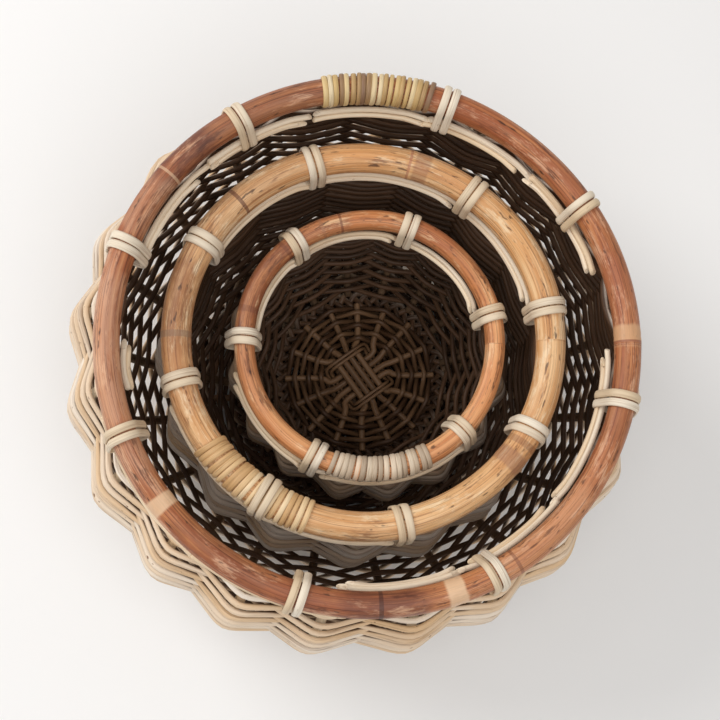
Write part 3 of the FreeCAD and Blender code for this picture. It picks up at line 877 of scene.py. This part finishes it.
BASKETS = [
    Basket(
        "large", seed=11, stakes=20, wall_inset=2.5, belly=(214.0, 150.0), foot_radius=125.0,
        stake_radius=4.0, rod_radius=2.4, first_stake=10.0, wave=8.8, stain_and_shade=0.0,
        sticks=5, cross_angle=20.0, lean=(-5.0, -5.0),
        ties=(33.0, 72.0, 121.0, 159.5, 202.0, 254.2, 297.8, 347.0), whipping=(76.0, 101.0), turns=20,
        rods_inside=((20, 46), (48, 74), (76, 102), (105, 130), (133, 158),
                     (182, 191), (265, 290), (292, 318), (320, 357)),
        rods_outside=((195, 228), (230, 262)), nodes=(1, 141, 219, 288.5),
    ),
    Basket(
        "medium", seed=12, stakes=16, wall_inset=0.0, belly=(148.6, 104.0), foot_radius=90.0,
        stake_radius=3.8, rod_radius=2.3, first_stake=21.5, wave=8.2, stain_and_shade=0.68,
        sticks=4, cross_angle=28.0, lean=(-2.0, -9.0),
        ties=(10.2, 54.0, 106.5, 149.9, 194.0, 238.1, 281.4, 331.2), whipping=(215.0, 253.0), turns=20,
        rods_inside=((15, 52), (56, 104), (109, 147)),
        rods_outside=((197, 235), (240, 279)), nodes=(76, 180, 320),
    ),
    Basket(
        "small", seed=13, stakes=16, wall_inset=0.0, belly=(105.3, 90.0), foot_radius=68.5,
        stake_radius=3.3, rod_radius=2.1, first_stake=9.0, wave=7.5, stain_and_shade=0.72,
        sticks=4, cross_angle=36.0, lean=(5.0, -1.8),
        ties=(14.0, 71.6, 126.9, 178.6, 244.2, 316.0), whipping=(251.7, 297.2), turns=17,
        rods_inside=((20, 68), (76, 123), (131, 175)),
        rods_outside=((195, 240), (248, 312)), nodes=(113, 30),
    ),
]

for basket in BASKETS:
    for number, (node, (label, make, material, slot)) in enumerate(PIECES.items()):
        rods = Rods(basket, number)
        make(basket, rods)
        finish = material[basket.name] if isinstance(material, dict) else material
        obj = rods.build(f"{basket.name}_{label}", finish)
        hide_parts(f"{basket.name}_{node}")
        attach(obj, f"{basket.name}_basket")


# Floor, light and camera

FLOOR_HALF = 4.0  # metres


def floor_material():
    g = Graph("floor")
    g.put(g.shader.inputs["Base Color"], (0.93, 0.925, 0.92, 1))
    g.put(g.shader.inputs["Roughness"], 0.7)
    return g.material


def area_light(name, place, target, size, power, tint):
    """A round light that faces target. Lengths are in metres and power in watts."""
    data = bpy.data.lights.new(name, "AREA")
    data.shape, data.size, data.energy, data.color = "DISK", size, power, tint
    obj = bpy.data.objects.new(name, data)
    obj.location = place
    obj.rotation_euler = (Vector(target) - Vector(place)).to_track_quat("-Z", "Y").to_euler()
    bpy.context.scene.collection.objects.link(obj)


floor_mesh = bpy.data.meshes.new("floor")
floor_corners = [(x * FLOOR_HALF, y * FLOOR_HALF, 0) for x, y in ((-1, -1), (1, -1), (1, 1), (-1, 1))]
floor_mesh.from_pydata(floor_corners, [], [(0, 1, 2, 3)])
floor_mesh.materials.append(floor_material())
floor = bpy.data.objects.new("floor", floor_mesh)
bpy.context.scene.collection.objects.link(floor)

area_light("window", (-2.0, 1.2, 2.0), (0, 0, 0.1), 2.0, 46.0, (1.0, 0.99, 0.98))
area_light("sky", (0.1, -0.9, 2.6), (0, 0, 0), 2.6, 29.0, (1.0, 1.0, 1.0))
world = bpy.data.worlds.new("studio")
world.use_nodes = True
background = world.node_tree.nodes["Background"]
background.inputs["Color"].default_value = (1.0, 0.98, 0.96, 1)
background.inputs["Strength"].default_value = 0.42
bpy.context.scene.world = world
bpy.context.scene.view_settings.view_transform = "Standard"

# The camera looks down from above the rim, tilted from upright towards its heading.
rim_top = BASKETS[0].hoop_height + BASKETS[0].hoop_half
tilt, heading, distance = math.radians(11.8), math.radians(243), 1100.0
target = Vector((-8.5, -16.5, rim_top)) * MM
place = Vector((
    distance * math.sin(tilt) * math.cos(heading),
    distance * math.sin(tilt) * math.sin(heading),
    rim_top + distance * math.cos(tilt),
)) * MM
camera_data = bpy.data.cameras.new("camera")
camera_data.lens = 76.35
camera = bpy.data.objects.new("camera", camera_data)
camera.location = place
look = (target - place).normalized()
right = look.cross(Vector((0, 1, 0))).normalized()
up = right.cross(look)
camera.rotation_mode = "QUATERNION"
camera.rotation_quaternion = Matrix((right, up, -look)).transposed().to_quaternion()
bpy.context.scene.collection.objects.link(camera)
bpy.context.scene.camera = camera
